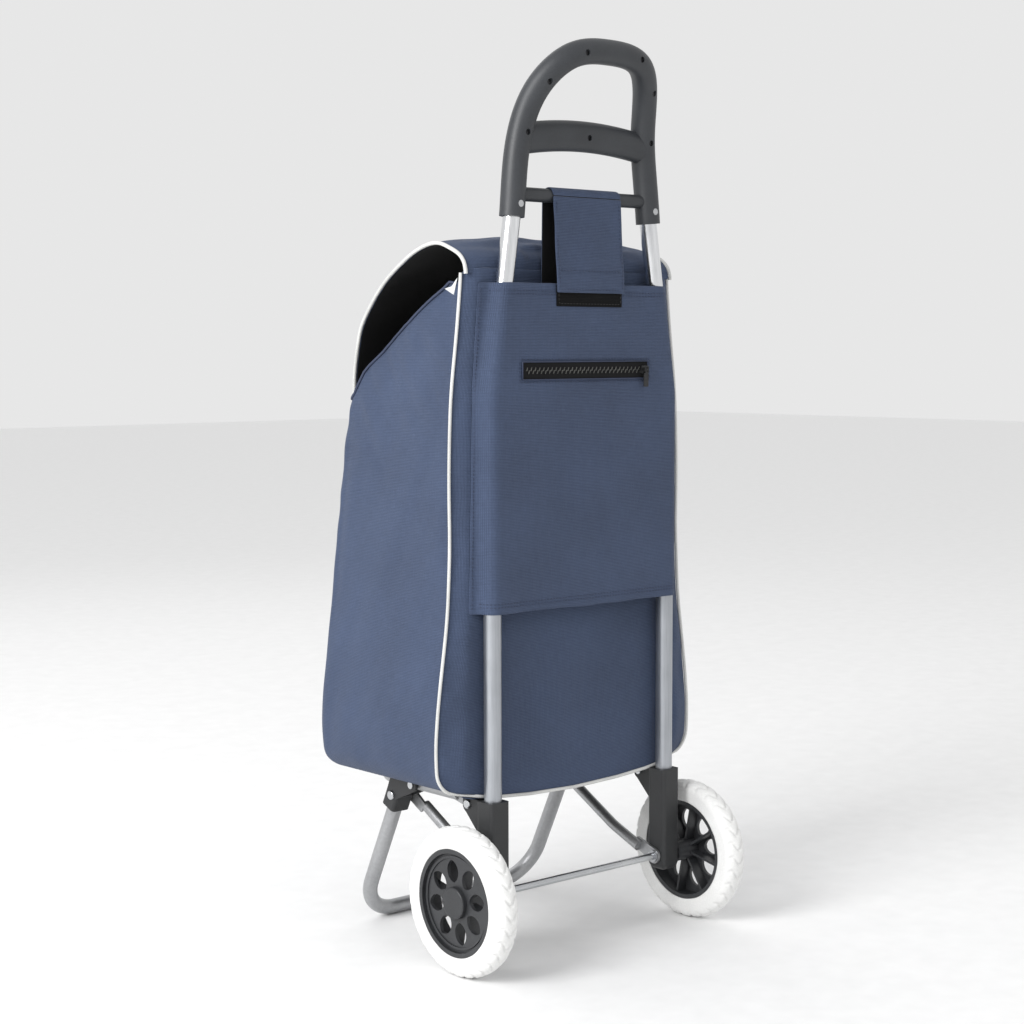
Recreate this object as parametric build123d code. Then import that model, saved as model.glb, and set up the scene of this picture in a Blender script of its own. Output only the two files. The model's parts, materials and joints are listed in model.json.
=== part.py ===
from build123d import *
import math
import os

# Two-wheeled shopping trolley. Millimetres, +Z up, standing on Z = 0.
# X runs across the trolley, the wheels and the user are towards +Y, the front stand towards -Y.
# The origin is on the floor, in the middle of the trolley's width and depth.

# ---- driving dimensions ----
depth_half = 161.75         # half of the whole depth, front stand to rear of the tyres
wheel_radius = 80.0
wheel_width = 27.0
wheel_track = 342.8         # between the wheels' middle planes
axle_diameter = 8.0
tube_diameter = 19.0
tube_spacing = 257.6        # between the axes of the two lower tubes
handle_spacing = 201.2      # between the axes of the tubes where they enter the handle
stand_tube_diameter = 17.0
shelf_tube_diameter = 16.0
strut_diameter = 12.0
sheet = 3.0                 # bag wall with its backing
fabric = 1.6                # single hemmed fabric

# ---- places that follow from them ----
axle_y = depth_half - wheel_radius
axle_z = wheel_radius
wheel_x = wheel_track / 2
tube_x = tube_spacing / 2
tube_r = tube_diameter / 2
bend_z = 612.0              # where the tubes start to lean in
socket_z = 797.0            # lower end of the handle sockets
socket_x = handle_spacing / 2
lean = math.atan((tube_x - socket_x) / (socket_z - bend_z))

# wheel bracket
bracket_top = 180.5
bracket_half = 13.0
bracket_bottom_r = 17.0
tube_foot_z = 96.0
gusset_half = 10.0
cheek_gap = 9.0

# folding stand, all in the plane across the axle: (y, z)
shelf_pivot = (axle_y - 30.0, 174.0)
leg_pivot = (axle_y - 125.0, 179.0)
strut_pivot = (axle_y - 160.0, 162.0)
pivot_pin_r = 2.5
shelf_z = 180.0
shelf_front_y = axle_y - 204.0
leg_tilt = 25.5             # degrees from the vertical
foot_z = stand_tube_diameter / 2
foot_y = axle_y - 235.0
strut_x = 109.0

# handle
grip_r = 13.5
grip_bore_r = 9.3
handle_top_z = 971.0
handle_top_y = axle_y + 40.0
mid_grip_z = 884.0
cross_bar_z = 821.0
cross_bar_r = 7.5

# bag
rear_y = axle_y - 12.5      # outer face of the rear panel
bag_base_z = 187.0
mouth_front_z = 606.0
mouth_rear_z = 742.0
hinge_y = axle_y - 18.0
hinge_z = 752.0

# panel over the tubes
panel_back_y = axle_y + tube_r + 0.8
panel_top_z = 728.5
panel_base_z = 380.0

# zip and strap
zip_z = 636.0
zip_left = 97.0
zip_right = -88.0
slider_x = -81.0
strap_half = 50.0
strap_base_z = 718.0
patch_half = 48.5

os.makedirs("parts", exist_ok=True)


def save(name, shape):
    export_step(shape, "parts/" + name + ".step")


def rod_x(radius, x0, x1, y, z):
    """Round bar along X from x0 to x1."""
    return Pos((x0 + x1) / 2, y, z) * Rot(0, 90, 0) * Cylinder(radius, abs(x1 - x0))


def rod_y(radius, y0, y1, x, z):
    """Round bar along Y from y0 to y1."""
    return Pos(x, (y0 + y1) / 2, z) * Rot(90, 0, 0) * Cylinder(radius, abs(y1 - y0))


def block(x0, x1, y0, y1, z0, z1):
    """Box between two corners."""
    return Pos((x0 + x1) / 2, (y0 + y1) / 2, (z0 + z1) / 2) * Box(x1 - x0, y1 - y0, z1 - z0)


def plate_x(points, x0, x1):
    """Flat plate with an outline of (y, z) points, between x0 and x1."""
    outline = Polyline(*[(p[0], p[1]) for p in points], close=True)
    return extrude(Plane.YZ.offset(x0) * make_face(outline), amount=x1 - x0)


def bent_rod(points, radius, corner):
    """Round bar through the points, with the corners rounded."""
    path = FilletPolyline(*points, radius=corner)
    return sweep(Plane(origin=path @ 0, z_dir=path % 0) * Circle(radius), path=path)


def other_side(shape):
    return mirror(shape, about=Plane.YZ)


def both(name, left):
    """Write a piece of the +X side and its mirror image."""
    save(name + "_left", left)
    save(name + "_right", other_side(left))


# ---- wheels: made about the X axis, then put on the axle ----
hub_rim_r = 57.5
hub_face = 8.0
leaf_count = 8
rib_count = 8


def on_axle(shape):
    return Pos(wheel_x, axle_y, axle_z) * shape


def ring_x(outer, inner, x0, x1):
    return rod_x(outer, x0, x1, 0, 0) - rod_x(inner, x0 - 1, x1 + 1, 0, 0)


def tyre():
    half = wheel_width / 2
    section = Plane.XZ * (Pos(0, (hub_rim_r + wheel_radius) / 2) * Rectangle(wheel_width, wheel_radius - hub_rim_r))
    ring = revolve(section, Axis.X)
    shoulders = ring.edges().filter_by(GeomType.CIRCLE).sort_by(lambda e: e.radius)[-2:]
    ring = fillet(shoulders, 8.5)
    return ring


def leaf_hole():
    """Pointed leaf, broad near the rim and sharp towards the middle."""
    leaf = Plane.YZ.offset(-2) * make_face(
        ThreePointArc((0, 45), (8.2, 37), (0, 21)) + ThreePointArc((0, 21), (-8.2, 37), (0, 45)))
    return extrude(leaf, amount=20)


def hub():
    rim = ring_x(hub_rim_r, 52.5, -12.5, 12.5)
    web = rod_x(53, 4, hub_face, 0, 0)
    boss = rod_x(12, -28.2, 4.5, 0, 0) + rod_x(10.5, 4, 9.5, 0, 0)
    body = rim + web + boss + ring_x(49.5, 47, 7.5, 9.5)
    for k in range(leaf_count):
        body -= Rot(360.0 * k / leaf_count + 11, 0, 0) * leaf_hole()
    for k in range(rib_count):
        rib = block(-9, 4.5, -1.3, 1.3, 11, 53)
        turn = 360.0 * (k + 0.5) / rib_count + 11
        body += Rot(turn, 0, 0) * rib
    return body - rod_x(axle_diameter / 2 + 0.07, -40, 20, 0, 0)


def hub_cap():
    cap = rod_x(17, hub_face, 14, 0, 0)
    cap = fillet(cap.edges().filter_by(GeomType.CIRCLE).sort_by(Axis.X)[-1:], 1.8)
    return cap - rod_x(11.4, hub_face - 1, 12, 0, 0)


def push_nut():
    nut = rod_x(7.5, 9.7, 11.4, 0, 0)
    return nut - rod_x(axle_diameter / 2, 5, 15, 0, 0)


both("tyre", on_axle(tyre()))
both("hub", on_axle(hub()))
both("hub_cap", on_axle(hub_cap()))
nut = on_axle(push_nut())
save("axle_push_nuts", Compound(children=[nut, other_side(nut)]))
save("axle", rod_x(axle_diameter / 2, -wheel_x - 11.6, wheel_x + 11.6, axle_y, axle_z))

washer = rod_x(9, tube_x + bracket_half, wheel_x - 28.4, axle_y, axle_z)
washer -= rod_x(axle_diameter / 2, 100, 200, axle_y, axle_z)
save("axle_washers", Compound(children=[washer, other_side(washer)]))


# ---- brackets that join the tubes, the axle and the stand ----
def bracket():
    half = bracket_half
    low = axle_z - bracket_bottom_r
    body = block(tube_x - half, tube_x + half, axle_y - half, axle_y + half, low, bracket_top)
    body = fillet(body.edges().filter_by(Axis.Z), 4.5)
    body = fillet(body.edges().filter_by(Axis.Y).sort_by(Axis.Z)[:2], 9)
    y, z = shelf_pivot
    front = axle_y - half + 1
    outline = [(front, bracket_top), (y - 8, bracket_top), (y - 8, z - 4), (front, z - 30)]
    gusset = plate_x(outline, tube_x - gusset_half, tube_x + gusset_half)
    tip = rod_x(8, tube_x - gusset_half, tube_x + gusset_half, y, z - 1.5)
    gusset = gusset + tip
    slot = block(tube_x - cheek_gap / 2, tube_x + cheek_gap / 2, y - 30, axle_y - half - 2, z - 40, z + 40)
    body = body + (gusset - slot)
    body -= Pos(tube_x, axle_y, tube_foot_z + 60) * Cylinder(tube_r, 120)
    body -= rod_x(axle_diameter / 2, 80, 180, axle_y, axle_z)
    body -= rod_x(pivot_pin_r, 80, 180, y, z)
    return body


both("wheel_bracket", bracket())


def cross_screw(x0, x1, y, z, head_r=5.2, head=2.6, nut_head=2.4):
    """Screw along X with a round head at x1 and a nut at x0."""
    shank = rod_x(pivot_pin_r, x0 - nut_head, x1 + 0.5, y, z)
    top = rod_x(head_r, x1, x1 + head, y, z)
    top = fillet(top.edges().filter_by(GeomType.CIRCLE).sort_by(Axis.X)[-1:], 1.6)
    nut_end = rod_x(4.2, x0 - nut_head, x0, y, z)
    return shank + top + nut_end


screw = cross_screw(tube_x - gusset_half, tube_x + gusset_half, *shelf_pivot)
save("shelf_pivot_screws", Compound(children=[screw, other_side(screw)]))


# ---- tubes: straight lower ones, upper ones that lean in to the handle ----
joint_z = 560.0


def lean_point(z):
    """Axis of the leaning part of the upper tube at height z."""
    return (tube_x - (z - bend_z) * math.tan(lean), axle_y, z)


lower = Pos(tube_x, axle_y, (tube_foot_z + joint_z) / 2) * Cylinder(tube_r, joint_z - tube_foot_z)
lower -= Pos(tube_x, axle_y, (tube_foot_z + joint_z) / 2) * Cylinder(tube_r - 1.2, joint_z - tube_foot_z + 2)
both("lower_tube", lower)

tube_end_z = 850.0
tube_path = [(tube_x, axle_y, joint_z), (tube_x, axle_y, bend_z), lean_point(tube_end_z)]
upper = bent_rod(tube_path, tube_r, 180)
upper -= bent_rod(tube_path, tube_r - 1.2, 180)
spigot_r = tube_r - 1.2
spigot = Pos(tube_x, axle_y, joint_z - 10) * (Cylinder(spigot_r, 60) - Cylinder(spigot_r - 1.2, 61))
both("upper_tube", upper + spigot)


# ---- handle: two shells that clamp the tops of the tubes ----
def loop_path():
    half = [(lean_point(socket_z)[0], 0.0, socket_z), (96.0, -0.5, 845.0), (89.5, 2.5, 890.0),
            (78.0, 17.0, 932.0), (50.0, 36.0, 963.0)]
    right = [(-x, y, z) for x, y, z in half]
    points = half + [(0.0, handle_top_y - axle_y, handle_top_z)] + right[::-1]
    return Spline(*[(x, axle_y + y, z) for x, y, z in points])


def along(path, radius):
    return sweep(Plane(origin=path @ 0, z_dir=path % 0) * Circle(radius), path=path)


def handle_body():
    path = loop_path()
    loop = along(path, grip_r)
    grip_line = Spline((-90, axle_y + 1, mid_grip_z - 6), (0, axle_y + 1, mid_grip_z + 2),
                       (90, axle_y + 1, mid_grip_z - 6))
    start = Plane(origin=grip_line @ 0, x_dir=(0, 1, 0), z_dir=grip_line % 0)
    grip = sweep(start * Ellipse(11.5, 16.5), path=grip_line)
    bar = rod_x(cross_bar_r, -97, 97, axle_y, cross_bar_z)
    solid = loop + grip + bar
    solid -= along(path, grip_bore_r)
    for side in (1, -1):
        top = lean_point(tube_end_z + 2)
        foot = lean_point(socket_z - 5)
        a = Vector(side * foot[0], foot[1], foot[2])
        b = Vector(side * top[0], top[1], top[2])
        solid -= Plane(origin=(a + b) / 2, z_dir=b - a) * Cylinder(tube_r, (b - a).length)
    return solid


def rear_half():
    """Space behind the parting surface of the handle, which leans back with the loop."""
    parting = [(0, 700), (0, 840), (2.5, 890), (17, 932), (36, 963), (46, 990), (120, 1100), (200, 1100),
               (200, 700)]
    return plate_x([(axle_y + y, z) for y, z in parting], -200, 200)


handle = handle_body()
handle_rear = handle & rear_half()
handle_front = handle - rear_half()

# countersunk screws that hold the shells together, and one through each socket
handle_screw_places = [(0, 884.0), (90.5, 884.0), (-90.5, 884.0), (76.5, 935.0), (-76.5, 935.0),
                       (40, 966.0), (-40, 966.0)]
socket_screw_places = [(socket_x - 1.5, 810.0), (-socket_x + 1.5, 810.0)]


def rear_surface(x, z, shape):
    """Y of the rear surface of a shape at a point in the X-Z plane."""
    probe = rod_y(0.4, axle_y - 60, axle_y + 120, x, z)
    return (shape & probe).bounding_box().max.Y


screws = []
for x, z in handle_screw_places:
    face_y = rear_surface(x, z, handle_rear)
    hole = rod_y(3.2, face_y - 5.0, face_y + 3, x, z) + rod_y(1.6, face_y - 16, face_y, x, z)
    handle_rear -= hole
    handle_front -= rod_y(1.6, face_y - 16, face_y, x, z)
    screws.append(rod_y(1.6, face_y - 15.5, face_y - 4.9, x, z) + rod_y(3.0, face_y - 4.9, face_y - 2.6, x, z))
save("handle_screws", Compound(children=screws))

socket_screws = []
for x, z in socket_screw_places:
    face_y = rear_surface(x, z, handle_rear)
    hole = rod_y(3.8, face_y - 2.2, face_y + 3, x, z) + rod_y(1.8, axle_y, face_y, x, z)
    handle_rear -= hole
    screw = rod_y(1.8, axle_y + tube_r + 0.1, face_y - 1.9, x, z) + rod_y(3.6, face_y - 2.2, face_y - 0.2, x, z)
    socket_screws.append(screw)
save("socket_screws", Compound(children=socket_screws))
save("handle_rear_shell", handle_rear)
save("handle_front_shell", handle_front)


# ---- folding stand ----


shelf_r = shelf_tube_diameter / 2
eye_half = 4.0


def shelf_frame():
    arm_y = shelf_pivot[0] - 24
    path = [(tube_x, arm_y, shelf_z), (tube_x, shelf_front_y, shelf_z), (-tube_x, shelf_front_y, shelf_z),
            (-tube_x, arm_y, shelf_z)]
    frame = bent_rod(path, shelf_r, 38)
    y, z = shelf_pivot
    for side in (1, -1):
        outline = [(arm_y - 6, shelf_z + 7), (y, z + 7.5), (y, z - 7.5), (arm_y - 6, shelf_z - 7)]
        x = side * tube_x
        eye = plate_x(outline, x - eye_half, x + eye_half) + rod_x(7.5, x - eye_half, x + eye_half, y, z)
        frame += eye
    frame -= rod_x(pivot_pin_r + 0.06, -200, 200, y, z)
    frame -= rod_x(pivot_pin_r, -200, 200, *leg_pivot)
    return frame


save("shelf_frame", shelf_frame())

leg_r = stand_tube_diameter / 2
tilt = math.radians(leg_tilt)
socket_half = 12.4
socket_depth = 11.0
clevis_gap = 8.35


def leg_axis(z):
    """Y of the leg's axis at height z."""
    return foot_y + (z - foot_z) * math.tan(tilt)


def leg_block():
    """Moulded socket on top of a leg, with two cheeks that hold the shelf arm's pivot."""
    low = 147.0
    y, z = leg_axis(low), low
    socket = Pos(0, 0, 20) * Box(2 * socket_half, 2 * socket_depth, 40)
    socket = fillet(socket.edges().filter_by(Axis.Z), 4.5)
    socket = Pos(tube_x, y, z) * Rot(-leg_tilt, 0, 0) * socket
    socket &= block(0, 200, -400, 400, 100, shelf_z - shelf_r - 0.6)
    py, pz = leg_pivot
    cheek = [(leg_axis(160) - 9, 160), (leg_axis(180) - 8, 184), (py, pz + 8), (py + 7, pz), (py + 2, pz - 7.5),
             (leg_axis(158) + 10, 158)]
    cheeks = plate_x(cheek, tube_x - socket_half, tube_x + socket_half)
    cheeks += rod_x(8, tube_x - socket_half, tube_x + socket_half, py, pz)
    cheeks -= block(tube_x - clevis_gap, tube_x + clevis_gap, -400, 400, shelf_z - shelf_r - 0.6, 300)
    slot = block(tube_x - clevis_gap, tube_x + clevis_gap, leg_axis(170) + 9, 400, 100, 300)
    solid = socket + (cheeks - slot)
    leg = Pos(tube_x, y, z) * Rot(-leg_tilt, 0, 0) * Pos(0, 0, 14 - 60) * Cylinder(leg_r, 120 + 28)
    solid -= leg & block(0, 200, -400, 400, 0, 168)
    solid -= rod_x(pivot_pin_r, 0, 200, *strut_pivot)
    solid -= rod_x(pivot_pin_r + 0.06, 0, 200, py, pz)
    return solid


both("leg_block", leg_block())

leg_top_z = 172.0
corner_r = 48.0


def foot_tube():
    top_y = leg_axis(leg_top_z)
    path = [(tube_x, top_y, leg_top_z), (tube_x, foot_y, foot_z), (-tube_x, foot_y, foot_z),
            (-tube_x, top_y, leg_top_z)]
    solid = bent_rod(path, leg_r, corner_r)
    solid &= block(-200, 200, -400, 400, -10, 168)
    return solid - rod_x(pivot_pin_r, -200, 200, *strut_pivot)


save("foot_tube", foot_tube())

outer_x = tube_x + socket_half
inner_x = tube_x - socket_half
leg_screw = rod_x(pivot_pin_r, inner_x, outer_x + 0.5, *strut_pivot)
leg_head = rod_x(5.4, outer_x, outer_x + 2.8, *strut_pivot)
leg_screw += fillet(leg_head.edges().filter_by(GeomType.CIRCLE).sort_by(Axis.X)[-1:], 1.7)
save("leg_screws", Compound(children=[leg_screw, other_side(leg_screw)]))

pivot_pin = rod_x(pivot_pin_r, inner_x, outer_x, *leg_pivot)
for x in (inner_x, outer_x):
    end = 1.0 if x == outer_x else -1.0
    pivot_pin += rod_x(4.2, x, x + 1.4 * end, *leg_pivot)
save("leg_pivot_pins", Compound(children=[pivot_pin, other_side(pivot_pin)]))

strut_flat = 3.0
strut_out = tube_x - bracket_half - 0.4     # outer face of the flattened ends


def strut():
    ay, az = axle_y, axle_z
    by, bz = axle_y - 62.0, 106.0
    py, pz = strut_pivot
    x = strut_out - strut_diameter / 2
    near_axle = (x, ay - 20.0, az + 8.4)
    near_block = (x, py + 21.0, pz - 12.3)
    rod = bent_rod([near_axle, (x, by, bz), near_block], strut_diameter / 2, 90)
    x0 = strut_out - strut_flat
    lower_end = plate_x([(ay - 26, az + 18), (ay + 2, az + 8.5), (ay + 2, az - 8.5), (ay - 24, az + 3)],
                        x0, strut_out)
    lower_end += rod_x(8.5, x0, strut_out, ay, az)
    upper_end = plate_x([(py + 27, pz - 9.5), (py + 2, pz + 7.6), (py - 4, pz - 6.8), (py + 20, pz - 20)],
                        x0, strut_out)
    upper_end += rod_x(8, x0, strut_out, py, pz)
    solid = rod + lower_end + upper_end
    solid -= rod_x(axle_diameter / 2 + 0.08, 0, 200, ay, az)
    return solid - rod_x(pivot_pin_r, 0, 200, py, pz)


both("strut", strut())
rivet = rod_x(pivot_pin_r, strut_out - strut_flat, strut_out, *strut_pivot)
rivet += rod_x(4.6, strut_out - strut_flat - 1.8, strut_out - strut_flat, *strut_pivot)
both("strut_rivet", rivet)

clip = rod_x(7.0, strut_out - strut_flat - 2.2, strut_out - strut_flat - 0.4, axle_y, axle_z)
clip -= rod_x(axle_diameter / 2, 0, 200, axle_y, axle_z)
save("axle_clips", Compound(children=[clip, other_side(clip)]))


# ---- bag: open-topped body, stiff base, lid, rear panel over the tubes ----
# heights with the half width and the front of the bag measured forward from the axle
bag_sections = [(bag_base_z, 178.0, 226.0, 26.0), (204.0, 185.0, 234.0, 22.0), (238.0, 188.0, 238.0, 18.0),
                (330.0, 178.0, 238.0, 16.0), (430.0, 169.0, 232.0, 16.0), (560.0, 168.0, 215.0, 18.0),
                (640.0, 163.0, 196.0, 20.0), (mouth_rear_z + 20, 150.0, 150.0, 22.0)]


def bag_loft(inset):
    """Body of the bag, lofted through rounded sections; the inset makes the hollow inside."""
    faces = []
    for z, half, front, corner in bag_sections:
        long = rear_y - (axle_y - front)
        middle = rear_y - long / 2
        outline = RectangleRounded(2 * (half - inset), long - 2 * inset, corner - inset)
        faces.append(Plane.XY.offset(z) * Pos(0, middle) * outline)
    return loft(faces, ruled=True)


def bag_body():
    walls = bag_loft(0) - bag_loft(sheet)
    front_y = axle_y - 240
    mouth = [(front_y, mouth_front_z), (axle_y - 198, mouth_front_z), (axle_y - 110, 683),
             (rear_y - 10, mouth_rear_z), (rear_y + 5, mouth_rear_z), (rear_y + 5, 800), (front_y, 800)]
    walls -= plate_x(mouth, -260, 260)
    lip = block(-160, 160, axle_y - 50, rear_y - 1, bag_base_z, bag_base_z + sheet)
    for side in (1, -1):
        x = side * tube_x
        lip -= block(x - 14, x + 14, axle_y - 60, rear_y + 5, bag_base_z - 5, bag_base_z + 10)
    return walls + lip


save("bag_body", bag_body())

base_rear_y = axle_y - 56.0
base_front_y = axle_y - 218.0
base_half = 164.0
base_z = shelf_z + shelf_r + 0.3


def base_sheet(inset, z, thick):
    long = base_rear_y - base_front_y - 2 * inset
    middle = (base_rear_y + base_front_y) / 2
    return Pos(0, middle, z + thick / 2) * extrude(RectangleRounded(2 * (base_half - inset), long, 18), thick / 2,
                                                   both=True)


save("bag_base", base_sheet(0, base_z, 1.5))
save("base_board", base_sheet(4, base_z + 1.5, 2.5))


def band(points, thick, half):
    """Curved sheet: a line of (y, z) points, given a thickness and carried across the width."""
    line = Spline(*[(p[0], p[1]) for p in points])
    ribbon = trace(line, thick)
    return extrude(Plane.YZ.offset(-half) * ribbon, amount=2 * half)


lid_half = 150.0
lid_line = [(hinge_y - 4, hinge_z + 4), (axle_y - 42, 767), (axle_y - 68, 773), (axle_y - 104, 767),
            (axle_y - 150, 743), (axle_y - 186, 714), (axle_y - 208, 680), (axle_y - 219, 640),
            (axle_y - 228, 560)]
save("lid", band(lid_line, sheet, lid_half))


def panel_section(z, half, seam, inset):
    """Hat-shaped section that goes round the backs of both tubes and is sewn down beside them."""
    y0 = axle_y - tube_r - 1.2
    y1 = panel_back_y + fabric - inset
    h = half + fabric - inset
    points = [(-seam, y0), (-h, y0 + 2), (-h, y1 - 5), (-h + 5, y1), (h - 5, y1), (h, y1 - 5), (h, y0 + 2),
              (seam, y0)]
    return Plane.XY.offset(z) * make_face(Polyline(*points, close=True))


def sleeve_panel():
    stations = [(panel_base_z, tube_x + tube_r + 0.6, 151.0), (bend_z + 6, tube_x + tube_r + 0.6, 146.0),
                (panel_top_z, lean_point(panel_top_z)[0] + tube_r + 1.6, 136.0)]
    outer = loft([panel_section(z, h, s, 0) for z, h, s in stations], ruled=True)
    grown = [(panel_base_z - 1, stations[0][1], 151.0), (bend_z + 6, stations[1][1], 146.0),
             (panel_top_z + 1, stations[2][1], 136.0)]
    inner = loft([panel_section(z, h, h - 0.5, fabric) for z, h, s in grown], ruled=True)
    return outer - inner - block(-h_free(), h_free(), axle_y - 20, axle_y - 6, 0, 900)


def h_free():
    """Half width between the two tubes that stays open in front of the panel."""
    return socket_x - tube_r - 4


save("sleeve_panel", sleeve_panel())

panel_face = panel_back_y + fabric


def zip_tape():
    tape = block(zip_right, zip_left, panel_face, panel_face + 0.8, zip_z - 9, zip_z + 9)
    teeth = block(zip_right + 3, zip_left - 3, panel_face + 0.8, panel_face + 1.8, zip_z - 2, zip_z + 2)
    return tape + teeth


def zip_slider():
    y0 = panel_face + 2.0
    body = block(slider_x - 5.5, slider_x + 5.5, y0, y0 + 2.0, zip_z - 4.5, zip_z + 4.5)
    body = fillet(body.edges().filter_by(Axis.Y), 2)
    for x in (slider_x - 2.2, slider_x + 2.2):
        ear = block(x - 0.7, x + 0.7, y0 + 1.8, y0 + 4.9, zip_z - 2.2, zip_z + 2.2)
        body += ear
    return body + rod_x(0.6, slider_x - 2.5, slider_x + 2.5, zip_y, zip_z)


zip_y = panel_face + 2.0 + 3.7


def zip_puller():
    y0 = zip_y - 0.9
    pull = block(slider_x - 3.4, slider_x + 3.4, y0, y0 + 1.2, zip_z - 19, zip_z - 3.6)
    pull = fillet(pull.edges().filter_by(Axis.Y), 1.4)
    neck = block(slider_x - 1.3, slider_x + 1.3, y0, y0 + 1.2, zip_z - 5, zip_z)
    ring = rod_x(1.5, slider_x - 1.3, slider_x + 1.3, zip_y, zip_z)
    return pull + neck + ring - rod_x(0.66, slider_x - 9, slider_x + 9, zip_y, zip_z)


save("zip_tape", zip_tape())
save("zip_slider", zip_slider())
save("zip_puller", zip_puller())

patch = block(-patch_half, patch_half, panel_face, panel_face + 1.0, 704, panel_top_z)
save("loop_patch", patch)

strap_r = cross_bar_r + 0.4
strap_thick = 2.0
fold_z = cross_bar_z - 1.0


def strap_band():
    """Fixed part of the strap: up from the rear of the bag and over the cross bar."""
    arch = rod_x(strap_r + strap_thick, -strap_half, strap_half, axle_y, cross_bar_z)
    arch -= rod_x(strap_r, -strap_half - 1, strap_half + 1, axle_y, cross_bar_z)
    arch &= block(-80, 80, axle_y - 30, axle_y + 30, cross_bar_z, cross_bar_z + 40)
    y = axle_y - strap_r
    sewn_y = rear_y + 0.1
    run = plate_x([(y, cross_bar_z), (y - strap_thick, cross_bar_z), (sewn_y, mouth_rear_z + 2), (sewn_y, 706),
                   (sewn_y + strap_thick, 706), (sewn_y + strap_thick, mouth_rear_z + 2)],
                  -strap_half, strap_half)
    return arch + run


def strap_tab():
    """Loose end of the strap, which hangs behind the bar and grips the loop patch."""
    y = axle_y + strap_r
    out = panel_face + 1.3
    outline = [(y + 0.2, fold_z), (y + strap_thick, fold_z), (out + strap_thick, 740),
               (out + strap_thick, strap_base_z), (out, strap_base_z), (out, 740)]
    return plate_x(outline, -strap_half, strap_half)


save("strap_band", strap_band())
save("strap_tab", strap_tab())
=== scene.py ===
import json
import math

import bpy
import numpy as np
from mathutils import Matrix, Vector, noise


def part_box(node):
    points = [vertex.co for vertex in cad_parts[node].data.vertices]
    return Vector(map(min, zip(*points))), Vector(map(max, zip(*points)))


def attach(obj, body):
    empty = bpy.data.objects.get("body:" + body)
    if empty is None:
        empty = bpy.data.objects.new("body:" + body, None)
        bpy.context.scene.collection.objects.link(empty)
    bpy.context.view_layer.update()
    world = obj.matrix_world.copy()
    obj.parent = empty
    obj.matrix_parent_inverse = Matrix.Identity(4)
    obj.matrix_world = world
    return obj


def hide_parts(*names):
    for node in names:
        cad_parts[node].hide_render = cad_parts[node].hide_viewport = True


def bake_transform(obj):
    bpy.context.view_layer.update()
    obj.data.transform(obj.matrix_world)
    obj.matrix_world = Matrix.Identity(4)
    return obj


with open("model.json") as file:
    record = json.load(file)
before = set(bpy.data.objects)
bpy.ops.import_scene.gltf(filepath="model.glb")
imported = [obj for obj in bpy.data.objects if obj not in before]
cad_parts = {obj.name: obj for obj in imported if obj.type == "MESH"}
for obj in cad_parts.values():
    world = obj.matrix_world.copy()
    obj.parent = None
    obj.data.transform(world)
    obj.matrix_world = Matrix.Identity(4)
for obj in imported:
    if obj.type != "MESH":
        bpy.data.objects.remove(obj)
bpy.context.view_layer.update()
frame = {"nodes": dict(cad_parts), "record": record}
print("frame loaded:", len(frame["nodes"]), "nodes")

mm = 0.001
axleLow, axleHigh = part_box("axle")
axleY = (axleLow.y + axleHigh.y) / 2


def place(x, y, z):  # millimetres, y measured back from the axle
    return (x * mm, axleY + y * mm, z * mm)


def placeAll(points):  # the same for an array of points
    return np.asarray(points) * mm + np.array([0, axleY, 0])


def sideName(side):
    return "Left" if side > 0 else "Right"


# finishes, built from noise and a thread pattern
def startMaterial(name, look):
    material = bpy.data.materials.new(name)
    material.use_nodes = True
    tree = material.node_tree
    shader = tree.nodes["Principled BSDF"]
    shader.inputs["Metallic"].default_value = look.get("metallic", 0.0)
    shader.inputs["Specular IOR Level"].default_value = look.get("specular", 0.5)
    shader.inputs["Sheen Weight"].default_value = look.get("sheen", 0.0)
    shader.inputs["Sheen Roughness"].default_value = 0.45
    return material, tree, shader


def addNode(tree, kind, **values):
    node = tree.nodes.new(kind)
    for key, value in values.items():
        if key in node.inputs:
            node.inputs[key].default_value = value
        else:
            setattr(node, key, value)
    return node


def combine(tree, operation, first, second):
    node = addNode(tree, "ShaderNodeMath", operation=operation)
    for socket, value in zip(node.inputs, (first, second)):
        if isinstance(value, (int, float)):
            socket.default_value = value
        else:
            tree.links.new(value, socket)
    return node.outputs[0]


def spread(tree, value, low, high):  # maps 0.3..0.7 of a noise onto low..high
    node = addNode(tree, "ShaderNodeMapRange")
    for key, number in (("From Min", 0.3), ("From Max", 0.7), ("To Min", low), ("To Max", high)):
        node.inputs[key].default_value = number
    tree.links.new(value, node.inputs["Value"])
    return node.outputs["Result"]


def colourBetween(tree, factor, dark, light, shader):
    ramp = addNode(tree, "ShaderNodeValToRGB")
    ramp.color_ramp.elements[0].color = (*dark, 1)
    ramp.color_ramp.elements[1].color = (*light, 1)
    tree.links.new(factor, ramp.inputs["Fac"])
    tree.links.new(ramp.outputs["Color"], shader.inputs["Base Color"])


def addBump(tree, height, strength, distance, shader):
    bump = addNode(tree, "ShaderNodeBump", Strength=strength, Distance=distance)
    tree.links.new(height, bump.inputs["Height"])
    tree.links.new(bump.outputs["Normal"], shader.inputs["Normal"])


# bandScale divided by a pitch in metres gives one band for each thread
weave = {"bandScale": 0.31416, "threadShare": 0.45, "yarnShare": 0.42, "fadeShare": 0.3,
         "fadeScale": 9.0, "roughSpread": 0.06, "depth": 0.0005}


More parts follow.
